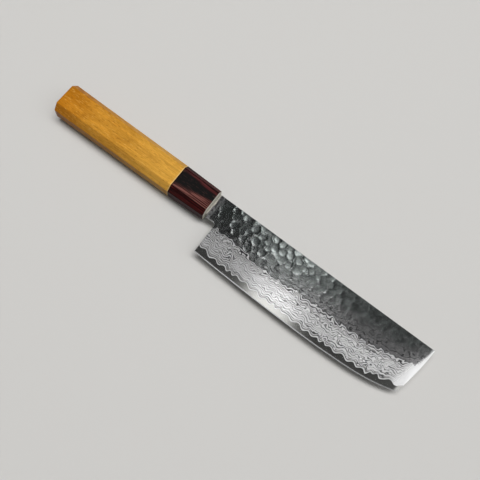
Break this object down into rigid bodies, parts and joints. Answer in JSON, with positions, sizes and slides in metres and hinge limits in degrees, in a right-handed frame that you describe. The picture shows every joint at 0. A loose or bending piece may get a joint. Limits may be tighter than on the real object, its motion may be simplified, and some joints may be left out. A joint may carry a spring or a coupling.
{
  "type": "nakiri knife",
  "caption": "Japanese vegetable knife with a tall, blunt-ended, hammered and layered steel blade and a tapered octagonal wooden handle with a dark laminated ferrule.",
  "frame": {"origin": "below the middle of the knife's box, on the surface that the handle lies on", "axes": "+X from the butt of the handle to the tip of the blade, the cutting edge faces -Y, +Z out of the right side of the blade"},
  "size_m": [0.304, 0.048, 0.0188],
  "materials": {
    "core_steel": "fine satin grind with a polished edge bevel",
    "layered_steel": "hammered and bright above, ground and etched below to show fine waved layers",
    "laminated_ferrule_wood": "dark red and black laminated wood, semi-gloss",
    "handle_wood": "orange-yellow hardwood with fine straight grain, satin",
    "dowel_wood": "plain pale wood",
    "resin": "cured pale resin"
  },
  "bodies": {
    "root": {"blade_core": "core_steel", "right_cladding": "layered_steel", "left_cladding": "layered_steel", "ferrule": "laminated_ferrule_wood", "handle_body": "handle_wood", "tang_dowel": "dowel_wood", "tang_resin": "resin"}
  },
  "joints": []
}
